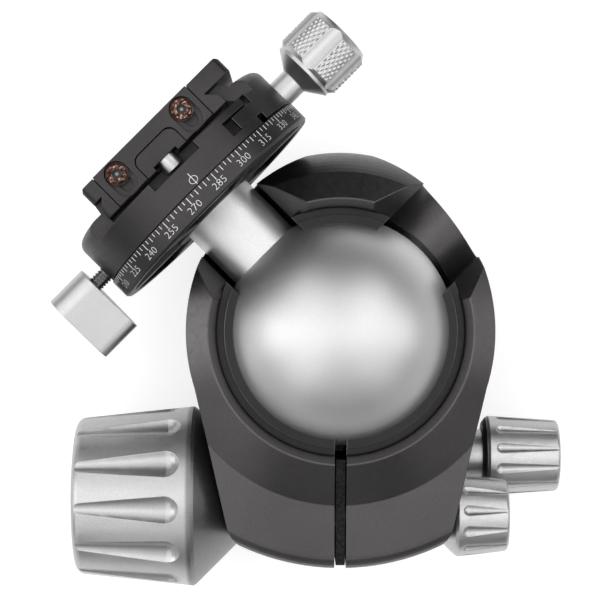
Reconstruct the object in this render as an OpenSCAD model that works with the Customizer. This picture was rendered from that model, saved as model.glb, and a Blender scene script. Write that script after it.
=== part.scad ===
// Tripod ball head with a panning base, a panning clamp and a quick-release plate
// Millimetres, +Z up. The origin is the centre of the base's underside.
// The head is drawn with its stem dropped into the left drop notch.

/* [Ball and stem] */
// Diameter of the ball
ball_d = 55; // [52:0.5:56]
// Diameter of the stem
stem_d = 19.2; // [17:0.2:20]
// Height of the panning disc's underside above the ball's centre
disc_h = 41.6; // [41.2:0.2:46]
// How deep the stem is seated in the ball
stem_seat = 9.5; // [6:0.5:14]
// Diameter of the bolt that joins disc and stem
stem_bolt_d = 6; // [5:0.5:8]
// Length of that bolt's thread in the stem
stem_bolt_len = 12; // [8:1:16]

/* [Base] */
// Diameter of the base
base_d = 69; // [66:0.5:69.5]
// Thickness of the base
base_h = 9; // [8:0.5:12]
// Diameter of the spindle that the housing turns on
spindle_d = 28; // [24:0.5:30]
// Diameter of the tripod screw hole, 3/8 inch
tripod_thread_d = 9.525; // [6.35, 9.525]
// Depth of the tripod screw hole
tripod_thread_len = 11; // [8:0.5:12]
// Diameter of the retainer over the spindle
retainer_d = 36; // [34:0.5:36.5]
// Thickness of the retainer
retainer_h = 2.5; // [2.2:0.1:4]
// Thickness of the lower thrust washer
low_washer_h = 0.4; // [0.3:0.1:1]
// Thickness of the upper thrust washer
up_washer_h = 0.3; // [0.2:0.1:0.8]
// Number of retainer screws
retainer_screws_n = 3; // [3:1:6]

/* [Housing] */
// Thickness of the housing's floor
floor_h = 3.8; // [3:0.2:5]
// Radius of the housing's side arcs
side_r = 45.6; // [45:0.1:46.6]
// How far each side arc's centre lies past the middle
side_x = 8.9; // [8.6:0.1:9.6]
// Radius of the housing's back arc
back_r = 37.8; // [37.4:0.1:38.6]
// How far behind the ball the back arc's centre lies
back_y = 5.4; // [5:0.1:6.5]
// Reach of the front lobe from the ball's axis
front_r = 57.2; // [56:0.2:60]
// Taper of each side of the front lobe, in degrees
lobe_taper = 12.6; // [11:0.2:14]
// Rounding length of the front lobe's corners
lobe_corner = 4; // [2:0.5:6]
// Height of the rim above the ball's centre
rim_h = 11; // [10.4:0.1:12]
// Radius of the top rim
rim_r = 31.6; // [30.8:0.1:33]
// Radius where the sloping shoulder ends, at the front
shoulder_r = 41.6; // [40:0.2:44]
// Radius where the rounding of the back edge starts
back_edge_r = 37.9; // [37:0.1:39]
// Height of the shoulder's foot above the ball's centre
shoulder_h = 4.6; // [3:0.2:6]
// Height of the front lobe's edge above the ball's centre
lobe_h = 3.2; // [2:0.2:4]
// Rounding of the front lobe's top edge
lobe_round = 3.3; // [2:0.1:4.5]
// Depth of the housing's full width below the ball's centre, at the front
lobe_low = 21.5; // [20.5:0.5:24]
// Depth of the housing's waist below the ball's centre
waist_low = 30; // [29.5:0.1:31]
// Radius where the underside's slope ends
under_r = 45; // [44:0.2:46]
// Depth of the underside there, below the ball's centre
under_low = 21.7; // [21.6:0.1:22.5]
// Width of the slit in the front lobe
slit_w = 2.8; // [2:0.1:3.4]
// Depth of the slit below the ball's centre
slit_low = 22; // [21.5:0.1:22.4]
// Width of the strip that fills the slit
slit_pad_w = 2.2; // [1.6:0.1:2.6]

/* [Drop notches] */
// Angle of each drop notch from the back of the head
notch_angle = 45; // [42:1:50]
// Width of a drop notch
notch_w = 21.6; // [21.2:0.2:22.4]
// Extra half width of a notch at the rim
notch_flare = 5.2; // [2:0.2:6]

/* [Ball race and seat] */
// Width of the groove around the race's collar
race_groove_w = 2.1; // [1.5:0.1:2.3]
// Opening diameter of the race over the ball
race_opening_d = 50.8; // [50.2:0.1:51.4]
// Width of the race's top edge
race_edge_w = 2.1; // [1.4:0.1:2.2]
// Depth of the groove around the collar
race_groove_h = 3.5; // [2.5:0.1:3.6]
// Depth of the race below the ball's centre
race_low = 12; // [11.6:0.1:12.2]
// Outer diameter of the lower seat ring
seat_d = 52.8; // [50:0.2:53]
// Depth of the lower seat ring's foot below the ball's centre
seat_low = 20.5; // [19:0.1:21]

/* [Lock knob] */
// Distance of the lock knob's axis in front of the ball
lock_y = 41.2; // [40:0.2:42]
// Depth of the lock knob's axis below the ball's centre
lock_low = 17; // [16.6:0.1:17.4]
// Largest diameter of the lock knob
lock_d = 44.4; // [40:0.2:45]
// Diameter of the lock knob at its outer end
lock_end_d = 38.8; // [34:0.2:39.4]
// Length of the lock knob's grip
lock_len = 29.2; // [26:0.2:34]
// Diameter of the lock knob's back face
lock_back_d = 22.6; // [20:0.2:23]
// How deep the lock knob sits in the housing's wall
lock_sunk = 4.6; // [4:0.1:5]
// Diameter of the lock knob's screw
lock_screw_d = 8; // [6:0.5:8]

/* [Friction knob] */
// Distance of the friction knob's axis in front of the ball
friction_y = 45.2; // [44.6:0.1:46]
// Depth of the friction knob's axis below the ball's centre
friction_low = 9; // [8.6:0.1:9.4]
// Largest diameter of the friction knob
friction_d = 20.2; // [18:0.2:20.8]
// Diameter of the friction knob at its outer end
friction_end_d = 17.6; // [15:0.2:17.8]
// Length of the friction knob's grip
friction_len = 12.6; // [10:0.2:14]
// Diameter of the friction knob's back face
friction_back_d = 11.4; // [10:0.2:12]
// How deep the friction knob sits in the housing's wall
friction_sunk = 3.8; // [3:0.1:4]
// Diameter of the friction knob's screw
friction_screw_d = 5; // [4:0.5:5]

/* [Pan knob] */
// Distance of the pan knob's axis in front of the ball
pan_y = 31.7; // [31.2:0.1:32.2]
// Depth of the pan knob's axis below the ball's centre
pan_low = 24; // [24:0.1:25]
// Largest diameter of the pan knob
pan_d = 20; // [18:0.2:20.8]
// Diameter of the pan knob at its outer end
pan_end_d = 17.8; // [15:0.2:18]
// Length of the pan knob's grip
pan_len = 17.8; // [14:0.2:20]
// Length of the pan knob's bush outside the housing
pan_neck_len = 5.4; // [4.6:0.2:7]
// Diameter of the pan knob's bush
pan_neck_d = 13.2; // [10:0.2:14]
// Thickness of the ring behind the pan knob
pan_ring_h = 1; // [0.8:0.1:2.4]
// Diameter of the pan knob's screw
pan_screw_d = 5; // [4:0.5:5]
// Diameter of the brake pin that presses on the base
brake_pin_d = 3.6; // [3:0.1:3.8]
// Distance of the brake pin from the head's middle plane
brake_pin_x = 5; // [4.6:0.1:5.4]

/* [Knob flutes] */
// Number of flutes around a knob
flutes_n = 12; // [8:1:14]
// Depth of a flute, as a part of half its width
flute_depth_part = 0.5; // [0.35:0.05:0.6]

/* [Panning disc] */
// Diameter of the clamp
clamp_d = 60; // [59:0.2:60.6]
// How far the disc stands out past the clamp
disc_over = 0.3; // [0:0.1:0.5]
// Thickness of the panning disc
disc_t = 5.1; // [4.6:0.1:6]
// Thickness of the disc's web over its pockets
disc_web = 1.5; // [1:0.1:2]
// Width of the disc's outer ring
disc_ring_w = 2.4; // [2:0.1:4]
// Diameter of the disc's middle boss
disc_boss_d = 25; // [23:0.2:27]
// Number of pockets under the disc
pockets_n = 6; // [4:1:8]
// Width of a spoke between two pockets
spoke_w = 2.4; // [1.6:0.1:4]
// Thickness of the washer between disc and clamp
pan_washer_h = 0.3; // [0.2:0.1:0.6]
// Diameter of the journal that the clamp turns on
journal_d = 17; // [15:0.2:17.4]
// Thickness of the plate that holds the clamp down
cap_h = 2; // [1.6:0.1:2.2]
// Diameter of the plate that holds the clamp down
cap_d = 21; // [20:0.2:21.4]

/* [Clamp] */
// Height of the clamp's rim above the disc
clamp_rim_h = 7.8; // [7.6:0.1:8.4]
// Height of the clamp's floor above its rim
clamp_floor_h = 1.7; // [1.5:0.1:2.4]
// Height of the fixed jaw above the clamp's rim
jaw_h = 4.2; // [4:0.1:4.6]
// Length of the jaws along the channel
jaw_len = 32; // [28:0.5:33]
// Distance of the body's right edge from the middle
rail_x = 21.3; // [21.1:0.1:22]
// Gap between body and moving jaw at rest
jaw_gap = 1.6; // [0.8:0.1:1.8]
// Rounding of the jaws' outer top edge
jaw_round = 2.4; // [1:0.1:3]
// Length of the moving jaw's tongues
tongue_len = 6.1; // [5:0.1:7]
// Thickness of the moving jaw's tongues
tongue_h = 3.4; // [2.8:0.1:3.6]
// Room in front of each tongue
tongue_room = 2.6; // [2:0.1:3]
// Width of the recess for the plate's stop screw
stop_recess_w = 14.2; // [12:0.2:16]
// Depth of that recess below the rim
stop_recess_h = 2.2; // [2:0.1:2.6]
// Distance of that recess's inner end from the middle
stop_recess_y = 12.4; // [12:0.1:12.6]
// Diameter of the clamp's screw
clamp_screw_d = 5; // [4:0.5:5]
// Height of the clamp's screw above the clamp's underside
clamp_screw_h = 3.4; // [3:0.1:3.6]
// Diameter of the jaw's guide pins
guide_pin_d = 2.4; // [2:0.1:2.6]
// Distance of each guide pin from the screw
guide_pin_y = 9; // [8:0.2:10]

/* [Clamp knob] */
// Diameter of the clamp knob's neck
knob_neck_d = 7; // [6:0.2:7.6]
// Length of the clamp knob's neck
knob_neck_len = 4.9; // [4:0.1:8]
// Length of the cone behind the clamp knob's head
knob_cone_len = 3; // [2:0.1:4]
// Diameter of the clamp knob's head
knob_head_d = 17.4; // [15:0.2:18]
// Length of the clamp knob's head
knob_head_len = 13.2; // [11:0.2:16]
// Number of grooves in the clamp knob
knob_flutes_n = 6; // [5:1:8]

/* [Pan lever] */
// Diameter of the lever's screw
lever_screw_d = 4; // [3.6:0.1:4.2]
// Height of the lever's screw above the clamp's underside
lever_screw_h = 2.5; // [2.4:0.1:2.7]
// Gap between clamp and lever
lever_gap = 3.7; // [3:0.1:6]
// Thickness of the lever
lever_t = 10.5; // [8:0.5:13]
// Diameter of the lever's round head
lever_head_d = 9.6; // [8:0.2:10]
// Diameter of the lever's round tail
lever_tail_d = 5.8; // [4:0.2:7]
// Distance of the lever's tail from its screw
lever_reach = 11.2; // [8:0.2:11.2]

/* [Plate] */
// Width of the plate's dovetail
plate_w = 38.1; // [37.6:0.1:38.6]
// How far each side of the dovetail is undercut
plate_undercut = 2.4; // [2:0.1:2.8]
// Height of the dovetail's straight side
plate_side_h = 2.4; // [2:0.1:2.6]
// Thickness of the plate's upper part
plate_top_h = 4.4; // [4:0.1:6]
// Length of the plate
plate_len = 40; // [39:0.5:42]
// How far the plate's upper part stands out past the dovetail on the knob's side
plate_over = 5.8; // [2:0.1:7]
// The same on the lever's side
plate_over_left = 0.5; // [0:0.1:1]
// Corner radius of the plate, seen from above it
plate_corner = 2.2; // [1:0.1:3]
// Diameter of the camera screw's hole, for 1/4 inch
camera_hole_d = 6.6; // [6.4:0.1:7]
// Length of that hole
camera_hole_len = 4.8; // [3.6:0.1:5]
// Diameter of the recess for the camera screw's head
camera_recess_d = 13; // [11:0.5:15]
// Width of the plate beside the lip, from the dovetail's edge
lip_margin = 4; // [3:0.1:5]
// Thickness of the lip
lip_t = 3.1; // [2.8:0.1:3.6]
// How far the lip can be raised
lip_travel = 3.3; // [2:0.1:3.4]
// Distance between the lip's screws
lip_screw_gap = 21.2; // [20.4:0.2:22]
// Head diameter of the lip's screws
lip_head_d = 5.6; // [5:0.1:5.8]
// Head thickness of the lip's screws
lip_head_h = 1.6; // [1.4:0.1:1.8]
// Width of the boss that guides the lip
lip_boss_w = 12.2; // [9:0.2:12.8]
// Height of that boss
lip_boss_h = 5.5; // [4.5:0.1:5.8]
// Diameter of the stop screws' heads
stop_d = 5.1; // [4.4:0.1:5.4]
// Height of the stop screws' heads
stop_h = 3.4; // [3:0.1:3.8]
// Distance of each stop screw from the plate's end
stop_inset = 3; // [2.8:0.1:3.4]
// Depth of the rubber strips in the plate's top
strip_h = 0.8; // [0.6:0.1:1.2]
// Width of a rubber strip
strip_w = 6; // [4:0.5:8]
// Distance of each strip from the dovetail's edge
strip_inset = 5; // [4:0.5:6]
// Distance of the strips' ends from the plate's end
strip_end = 6; // [5:0.5:8]

/* [Fits] */
// Radial clearance of turning and sliding fits
run_fit = 0.05; // [0.03:0.01:0.08]
// Gap between a fixed part and a knob behind it
knob_gap = 0.1; // [0.05:0.05:0.2]

/* [Hidden] */
$fn = 96;
cut = 0.01;
housing_grey = [0.30, 0.28, 0.30];
clamp_grey = [0.22, 0.21, 0.22];
silver = [0.78, 0.78, 0.79];
copper = [0.45, 0.26, 0.20];

// Heights along the pan axis
ball_r = ball_d / 2;
ball_room = 3;
floor_z = base_h + low_washer_h;
spindle_top = floor_z + floor_h + up_washer_h;
retainer_top = spindle_top + retainer_h;
ball_z = retainer_top + ball_room + ball_r;
tripod_r = tripod_thread_d / 2;
retainer_hole_pcd = (tripod_thread_d + spindle_d) / 2;
retainer_screw_r = 1.5;
retainer_head_r = 2.4;
retainer_head_h = 1.6;
pin_gap = 0.3;
chamfer = 0.5;

// Race and seat
race_outer_r = rim_r - race_groove_w;
race_bore_r = race_opening_d / 2;
race_collar_r = race_bore_r + race_edge_w;
race_top = sqrt((ball_r + run_fit) ^ 2 - race_bore_r ^ 2);
race_inner_r = ball_r + run_fit;
seat_top = race_low + 0.4;
seat_bore_r = sqrt(race_inner_r ^ 2 - seat_low ^ 2);
well_r = retainer_d / 2 + 0.6;
rim_chamfer_h = 1.4;
rim_land = 0.3;

// Outline of the front lobe, right side: a line that leaves the side arc at a slight angle
lobe_n = [cos(lobe_taper), -sin(lobe_taper)];
lobe_t = [-sin(lobe_taper), -cos(lobe_taper)];
lobe_bite = 0.15;
lobe_d = side_r - lobe_bite - side_x * cos(lobe_taper);
lobe_start = [-side_x, 0] + (side_r - lobe_bite) * lobe_n;
lobe_end_s = sqrt(front_r ^ 2 - lobe_d ^ 2);
lobe_tip = lobe_d * lobe_n + lobe_end_s * lobe_t;
lobe_before = lobe_tip - lobe_corner * lobe_t;
lobe_tip_angle = atan2(lobe_tip[1], lobe_tip[0]) - lobe_corner / front_r * 180 / PI;
lobe_after = 1.004 * front_r * [cos(lobe_tip_angle), sin(lobe_tip_angle)];
corner_steps = 6;
function wall_x(y) = (lobe_d - y * sin(lobe_taper)) / cos(lobe_taper);
function bezier(a, b, c, t) = (1 - t) ^ 2 * a + 2 * t * (1 - t) * b + t ^ 2 * c;
function mirrored(points) = [for (i = [len(points) - 1 : -1 : 0]) [-points[i][0], points[i][1]]];

// Knob seats, measured outward from the head's middle plane
lock_washer_h = 0.8;
lock_pocket = wall_x(lock_y) - lock_sunk;
lock_seat = lock_pocket + lock_washer_h + knob_gap;
friction_pocket = wall_x(friction_y) - friction_sunk;
friction_seat = friction_pocket + 3 * knob_gap;
pocket_gap = 0.5;
pan_wall = wall_x(pan_y);
pan_bush_end = pan_wall + pan_neck_len;
pan_ring_x = pan_bush_end + knob_gap;
pan_seat = pan_ring_x + pan_ring_h;
pan_boss_r = 8.5;
pan_bush_sunk = 4;
pan_tip_x = brake_pin_x - 1;
low_washer_r = norm([brake_pin_x, pan_y]) - brake_pin_d / 2 - pin_gap;
screw_reach = 17;
screw_room = 1;

// Heights along the stem, above the ball's centre
disc_top = disc_h + disc_t;
body_bottom = disc_top + pan_washer_h;
body_rim = disc_top + clamp_rim_h + pan_washer_h;
body_floor = body_rim + clamp_floor_h;
journal_top = body_bottom + 4.4;
cap_ledge = journal_top - knob_gap;
jaw_top = body_rim + jaw_h;
clamp_r = clamp_d / 2;
disc_r = clamp_r + disc_over;
screw_h = body_bottom + clamp_screw_h;
lever_h = body_bottom + lever_screw_h;
stem_spigot = 0.8;
bolt_head_h = 2.8;
bolt_head_r = 5;

// Dovetail, shared by plate and jaws
plate_x = -0.3;
plate_bottom = body_floor + 0.1;
dove_top = plate_bottom + plate_side_h + plate_undercut;
plate_top = dove_top + plate_top_h;
dove_gap = 0.05;
hook_top = dove_top - 0.1;
fixed_hook_w = 0.9;
hook_w = 3.4;
jaw_x = rail_x + jaw_gap;
slab_low = body_rim + 0.6;
slab_chamfer = 1.8;
floor_y = stop_recess_y + 0.6;
tongue_low = body_bottom + 2.2;
tongue_y = jaw_len / 2 + 0.2;
spring_r = 2.1;
spring_room = 5;
knob_seat_x = clamp_r - 0.3;

// Lip and its screws
lip_front = -plate_len / 2;
lip_seam = 0.25;
lip_x = plate_x - 0.15;
lip_w = plate_w - 2 * lip_margin;
strip_x = plate_w / 2 - strip_inset - strip_w / 2;
lip_screw_h = plate_top - 3.1;
lip_screw_r = 1.5;
stop_y = plate_len / 2 - stop_inset;
stop_notch_h = 1;
boss_corner = 2.3;

// Moves what is drawn above the ball's centre into the dropped stem's place:
// the stem points along the left notch and the clamp's front faces up
module on_stem() {
    translate([0, 0, ball_z]) rotate([-90, 0, notch_angle]) children();
}

// Turns +Z into -X, at the height of a knob on the head's left side
module on_left(y, low) {
    translate([0, -y, ball_z - low]) rotate([0, -90, 0]) children();
}

// Turns +Z into +X, at the height of a knob on the head's right side
module on_right(y, low) {
    translate([0, -y, ball_z - low]) rotate([0, 90, 0]) children();
}

// Turns +Z into the clamp's +X, towards its knob
module along_clamp(y, h) {
    translate([0, y, h]) rotate([0, 90, 0]) children();
}

module block(x0, x1, y0, y1, z0, z1) {
    translate([x0, y0, z0]) cube([x1 - x0, y1 - y0, z1 - z0]);
}

module ring(outer_r, inner_r, z0, z1) {
    translate([0, 0, z0]) difference() {
        cylinder(r = outer_r, h = z1 - z0);
        translate([0, 0, -cut]) cylinder(r = inner_r, h = z1 - z0 + 2 * cut);
    }
}

// Plan of the housing: side arcs and the tapered front lobe
module housing_plan() {
    intersection() {
        translate([side_x, 0]) circle(r = side_r, $fn = 180);
        translate([-side_x, 0]) circle(r = side_r, $fn = 180);
        translate([-side_r, 2 * lobe_start[1]]) square([2 * side_r, 3 * side_r]);
    }
    right = concat([[race_outer_r, 0], lobe_start],
        [for (i = [0 : corner_steps]) bezier(lobe_before, lobe_tip, lobe_after, i / corner_steps)],
        [1.1 * lobe_after]);
    polygon(concat(right, mirrored(right)));
}

// Plan of what the back arc takes off the side arcs
module back_plan() {
    difference() {
        translate([-side_r, 1]) square([2 * side_r, 2 * side_r]);
        translate([0, back_y]) circle(r = back_r, $fn = 180);
    }
}

// Section of what the rounding of the back edge takes off, turned about the ball's axis
module back_edge_section() {
    slope = (rim_h - shoulder_h) / (shoulder_r - rim_r);
    start = atan(slope) + 14;
    end = 82;
    steps = 8;
    edge_h = rim_h - (back_edge_r - rim_r) * slope + 0.03;
    bend = (back_y + back_r - back_edge_r) / (sin(end) - sin(start));
    arc = [for (i = [0 : steps]) let (a = start + (end - start) * i / steps)
        [back_edge_r + bend * (sin(a) - sin(start)), edge_h - bend * (cos(start) - cos(a))]];
    polygon(concat([[back_edge_r, rim_h + 1]], arc,
        [[front_r, arc[steps][1]], [front_r, rim_h + 1]]));
}

// Section of the housing's outside, turned about the ball's axis
module housing_section() {
    round_pts = [for (a = [0 : 15 : 90])
        [front_r - lobe_round * (1 - cos(a)), lobe_h - 1.3 * lobe_round * (1 - sin(a))]];
    polygon(concat([[0, floor_z - ball_z], [base_d / 2, floor_z - ball_z], [base_d / 2, -waist_low],
        [under_r, -under_low], [front_r, -lobe_low]], round_pts,
        [[shoulder_r, shoulder_h], [rim_r, rim_h], [0, rim_h]]));
}

// Section of the housing's stepped bore, from the spindle up to the rim's inner chamfer
module bore_section() {
    spindle_bore = spindle_d / 2 + run_fit;
    polygon([[0, floor_z - 1], [spindle_bore, floor_z - 1], [spindle_bore, floor_z + floor_h],
        [well_r, floor_z + floor_h], [well_r, ball_z - seat_low], [seat_d / 2, ball_z - seat_low],
        [seat_d / 2, ball_z - race_low], [race_outer_r, ball_z - race_low],
        [race_outer_r, ball_z + rim_h - rim_chamfer_h], [rim_r - rim_land, ball_z + rim_h],
        [rim_r - rim_land, ball_z + rim_h + 1], [0, ball_z + rim_h + 1]]);
}

// Room that the stem drops into, along +Y
module notch_room(reach) {
    rotate([-90, 0, 0]) cylinder(d = notch_w, h = reach);
    block(-notch_w / 2, notch_w / 2, 0, reach, 0, rim_h + 1);
}

module notches(reach) {
    for (turn = [notch_angle, -notch_angle]) rotate([0, 0, turn]) notch_room(reach);
}

// Slanted edges of a notch, widest at the rim
module notch_flares() {
    low = shoulder_h - 0.8;
    top = rim_h + 0.2;
    wide = notch_w / 2 + notch_flare;
    for (turn = [notch_angle, -notch_angle]) rotate([90, 0, 180 + turn])
        linear_extrude(front_r)
            polygon([[-notch_w / 2, low], [notch_w / 2, low], [wide, top], [-wide, top]]);
}

module housing() {
    color(housing_grey) difference() {
        union() {
            intersection() {
                translate([0, 0, floor_z]) linear_extrude(ball_z + rim_h - floor_z) housing_plan();
                translate([0, 0, ball_z]) rotate_extrude($fn = 180) housing_section();
            }
            on_right(pan_y, pan_low) translate([0, 0, pan_wall - 16]) cylinder(r = pan_boss_r, h = 16);
        }
        translate([0, 0, floor_z - 1]) linear_extrude(ball_z + rim_h) back_plan();
        translate([0, 0, ball_z]) rotate([0, 0, 10]) rotate_extrude(angle = 160, $fn = 180)
            back_edge_section();
        rotate_extrude($fn = 180) bore_section();
        translate([0, 0, ball_z]) notches(front_r);
        translate([0, 0, ball_z]) notch_flares();
        block(-slit_w / 2, slit_w / 2, -1.1 * front_r, 1 - well_r, ball_z - slit_low, ball_z + rim_h + 1);
        lock_cuts();
        friction_cuts();
        pan_cuts();
    }
}

// Pocket, clearance hole and threaded hole for the lock knob's screw
module lock_cuts() {
    pocket_r = lock_back_d / 2 + pocket_gap;
    deep = lock_len;
    on_left(lock_y, lock_low) {
        translate([0, 0, lock_pocket]) cylinder(r1 = pocket_r, r2 = pocket_r + deep, h = deep);
        cylinder(d = lock_screw_d + 2 * run_fit, h = lock_pocket + 1);
        translate([0, 0, -screw_reach - screw_room])
            cylinder(d = lock_screw_d + 2 * run_fit, h = screw_reach + 2);
    }
}

// The same for the friction knob, from the right
module friction_cuts() {
    pocket_r = friction_back_d / 2 + pocket_gap;
    deep = friction_len;
    on_right(friction_y, friction_low) {
        translate([0, 0, friction_pocket]) cylinder(r1 = pocket_r, r2 = pocket_r + deep, h = deep);
        cylinder(d = friction_screw_d + 2 * run_fit, h = friction_pocket + 1);
        translate([0, 0, -screw_reach - screw_room])
            cylinder(d = friction_screw_d + 2 * run_fit, h = screw_reach + 2);
    }
}

// Holes for the pan knob's bush and screw, and for the brake pin below it
module pan_cuts() {
    on_right(pan_y, pan_low) {
        translate([0, 0, pan_wall - pan_bush_sunk])
            cylinder(d = pan_neck_d + 0.04, h = pan_bush_sunk + pan_wall);
        translate([0, 0, pan_tip_x - 1]) cylinder(d = pan_screw_d + 2 * run_fit, h = pan_wall);
    }
    translate([brake_pin_x, -pan_y, floor_z - 1])
        cylinder(d = brake_pin_d + 2 * run_fit, h = ball_z - pan_low - floor_z + 1);
}

// Split ring that holds the ball from above
module ball_race() {
    color(housing_grey) translate([0, 0, ball_z]) difference() {
        union() {
            translate([0, 0, -race_low])
                cylinder(r = race_outer_r, h = race_low + race_top - race_groove_h);
            translate([0, 0, -race_low]) cylinder(r = race_collar_r, h = race_low + race_top);
        }
        sphere(r = race_inner_r, $fn = 120);
        notches(race_outer_r + 2);
        block(-slit_w / 2, slit_w / 2, -race_outer_r - 2, -ball_r / 2, -race_low - 1, rim_h + 1);
    }
}

// Lower ring that carries the ball
module ball_seat() {
    color("ivory") translate([0, 0, ball_z]) difference() {
        ring(seat_d / 2 - 0.02, seat_bore_r, -seat_low, -seat_top);
        sphere(r = race_inner_r, $fn = 120);
    }
}

// Strip that closes the slit, cut to the housing's section and holed for both screws
module slit_pad() {
    hole_gap = 0.4;
    color([0.10, 0.10, 0.10]) difference() {
        intersection() {
            block(-slit_pad_w / 2, slit_pad_w / 2, -front_r, -race_outer_r - 0.9,
                ball_z - slit_low, ball_z + rim_h);
            translate([0, 0, ball_z - 0.5]) rotate_extrude() housing_section();
            translate([0, 0, floor_z]) cylinder(r = front_r - 1, h = ball_z);
        }
        on_left(lock_y, lock_low) translate([0, 0, -slit_w])
            cylinder(d = lock_screw_d + 2 * hole_gap, h = 2 * slit_w);
        on_right(friction_y, friction_low) translate([0, 0, -slit_w])
            cylinder(d = friction_screw_d + 2 * hole_gap, h = 2 * slit_w);
    }
}

module pan_bush() {
    color(silver) on_right(pan_y, pan_low)
        ring(pan_neck_d / 2, pan_screw_d / 2 + run_fit, pan_wall - pan_bush_sunk, pan_bush_end);
}

// Pin that the pan screw's cone pushes down onto the base
module brake_pin() {
    color("gold") difference() {
        translate([brake_pin_x, -pan_y, base_h + run_fit])
            cylinder(d = brake_pin_d, h = ball_z - pan_low - base_h - 0.6);
        pan_cone(run_fit);
    }
}

module pan_cone(gap) {
    cone_len = 3.4;
    on_right(pan_y, pan_low) translate([0, 0, pan_tip_x - 0.4])
        cylinder(r1 = 0.5 + gap, r2 = pan_screw_d / 2 + gap, h = cone_len);
}

module base_plate() {
    color(housing_grey) difference() {
        union() {
            cylinder(d = base_d - 2 * chamfer, h = base_h);
            translate([0, 0, chamfer]) cylinder(d = base_d, h = base_h - 2 * chamfer);
            translate([0, 0, base_h - cut]) cylinder(d = spindle_d, h = spindle_top - base_h + cut);
        }
        translate([0, 0, -1]) cylinder(d = tripod_thread_d, h = tripod_thread_len + 1);
        retainer_places() translate([0, 0, base_h - 3])
            cylinder(r = retainer_screw_r + 0.01, h = spindle_top);
    }
}

module retainer_places() {
    for (i = [0 : retainer_screws_n - 1])
        rotate([0, 0, 360 / retainer_screws_n * i]) translate([retainer_hole_pcd / 2, 0, 0]) children();
}

module low_washer() {
    color("white") ring(low_washer_r, spindle_d / 2 + 1, base_h, floor_z);
}

module up_washer() {
    color("white") ring(retainer_d / 2 - 0.2, spindle_d / 2 + 0.1, floor_z + floor_h, spindle_top);
}

module spindle_retainer() {
    color(silver) difference() {
        translate([0, 0, spindle_top]) cylinder(d = retainer_d, h = retainer_h);
        retainer_places() {
            translate([0, 0, spindle_top - 1]) cylinder(r = retainer_screw_r + 0.1, h = retainer_h + 2);
            translate([0, 0, retainer_top - retainer_head_h])
                cylinder(r = retainer_head_r + 0.1, h = retainer_head_h + 1);
        }
    }
}

module retainer_screws() {
    color("dimgray") retainer_places() difference() {
        union() {
            translate([0, 0, retainer_top - retainer_head_h])
                cylinder(r = retainer_head_r, h = retainer_head_h);
            translate([0, 0, base_h - 2.5])
                cylinder(r = retainer_screw_r, h = retainer_top - retainer_head_h - base_h + 2.5 + cut);
        }
        translate([0, 0, retainer_top - 0.9]) cylinder(r = 1.2, h = 2, $fn = 6);
    }
}

// Radius of a cutter that leaves a groove of this half width and depth
function groove_r(w, depth) = (w ^ 2 + depth ^ 2) / (2 * depth);

// Tear-drop flutes around a tapered grip that starts at z0
module flutes(r0, r1, z0, grip_len, wide, turn) {
    narrow = 0.4 * wide;
    deep0 = flute_depth_part * wide;
    deep1 = flute_depth_part * narrow;
    cut0 = groove_r(wide, deep0);
    cut1 = groove_r(narrow, deep1);
    start = z0 + 0.08 * grip_len + cut0;
    run = z0 + grip_len + 1 - start;
    x0 = r0 + (r1 - r0) * (start - z0) / grip_len + cut0 - deep0;
    x1 = r1 + cut1 - deep1;
    for (i = [0 : flutes_n - 1]) rotate([0, 0, turn + 360 / flutes_n * i])
        translate([x0, 0, start]) rotate([0, atan2(x1 - x0, run), 0]) rotate_extrude($fn = 48)
            polygon(concat([for (a = [-90 : 15 : 0]) cut0 * [cos(a), sin(a)]], [[cut1, run], [0, run]]));
}

// Knob with a 45 degree back cone and a tapered, fluted grip with a rounded end
module fluted_knob(d, end_d, grip_len, back_d, seat, wide, turn) {
    cone_h = (d - back_d) / 2;
    top = seat + cone_h + grip_len;
    edge = 0.12 * end_d / 2;
    difference() {
        rotate_extrude($fn = 120) polygon(concat(
            [[0, seat], [back_d / 2, seat], [d / 2 - 0.5, seat + cone_h - 0.5],
                [d / 2, seat + cone_h + 0.3]],
            [for (a = [0 : 15 : 90]) [end_d / 2 - edge * (1 - cos(a)), top - edge * (1 - sin(a))]],
            [[0, top + 0.4]]));
        flutes(d / 2, end_d / 2, seat + cone_h, grip_len, wide, turn);
    }
}

module lock_knob() {
    top = lock_seat + (lock_d - lock_back_d) / 2 + lock_len;
    color(silver) on_left(lock_y, lock_low) difference() {
        fluted_knob(lock_d, lock_end_d, lock_len, lock_back_d, lock_seat, 0.16 * lock_d / 2, 26);
        translate([0, 0, lock_seat - 1]) cylinder(d = lock_screw_d + 0.02, h = lock_len);
        translate([0, 0, top - 2]) cylinder(d = 0.62 * lock_end_d, h = 4);
    }
}

// Flat cap let into the lock knob's outer end
module lock_cap() {
    top = lock_seat + (lock_d - lock_back_d) / 2 + lock_len;
    color(silver) on_left(lock_y, lock_low)
        translate([0, 0, top - 2]) cylinder(d = 0.62 * lock_end_d - 0.2, h = 2.1);
}

module lock_screw() {
    color("gray") on_left(lock_y, lock_low)
        translate([0, 0, -screw_reach])
            cylinder(d = lock_screw_d, h = screw_reach + lock_seat + lock_len - 1);
}

module lock_washer() {
    color("black") on_left(lock_y, lock_low)
        ring(lock_back_d / 2 - 0.6, lock_screw_d / 2 + 0.3, lock_pocket, lock_pocket + lock_washer_h);
}

module friction_knob() {
    color(silver) on_right(friction_y, friction_low) difference() {
        fluted_knob(friction_d, friction_end_d, friction_len, friction_back_d, friction_seat,
            0.14 * friction_d / 2, 108);
        translate([0, 0, friction_seat - 1]) cylinder(d = friction_screw_d + 0.02, h = friction_len);
    }
}

module friction_screw() {
    color("gray") on_right(friction_y, friction_low)
        translate([0, 0, -screw_reach])
            cylinder(d = friction_screw_d, h = screw_reach + friction_seat + friction_len - 1);
}

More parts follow.
